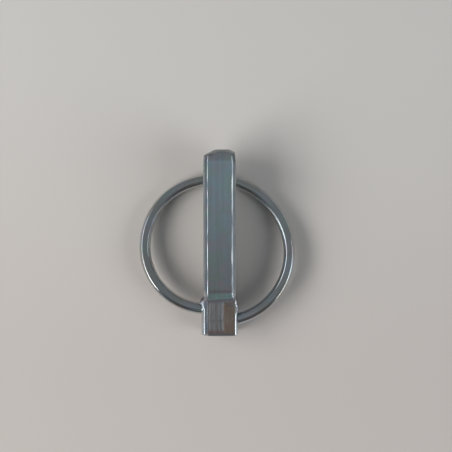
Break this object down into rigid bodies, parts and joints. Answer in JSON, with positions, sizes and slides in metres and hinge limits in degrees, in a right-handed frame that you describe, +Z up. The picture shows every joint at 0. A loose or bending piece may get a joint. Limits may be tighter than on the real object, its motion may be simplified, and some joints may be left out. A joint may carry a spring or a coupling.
{
  "type": "lynch pin",
  "caption": "Square-bar linch pin with a pressed head and a sprung wire ring that swings over its tip, in bright zinc-plated steel.",
  "frame": {"origin": "under the middle of the part's box, on the surface that it lies on", "axes": "+Y along the bar towards its tip, +X to the right across the ring, +Z up"},
  "size_m": [0.0488, 0.0578, 0.0141],
  "materials": {
    "plated_bar": "blue-bright zinc plate with a satin, faintly streaked surface",
    "plated_wire": "blue-bright zinc plate over drawn wire, smoother and glossier than the bar"
  },
  "bodies": {
    "pin": {"pin_body": "plated_bar"},
    "ring": {"spring_ring": "plated_wire"}
  },
  "joints": [
    {"name": "ring_swing", "type": "hinge", "parent": "pin", "child": "ring", "pos_m": [0.00083, -0.02224, 0.00486], "axis": [-1, 0, 0], "range_deg": [0, 341]}
  ]
}
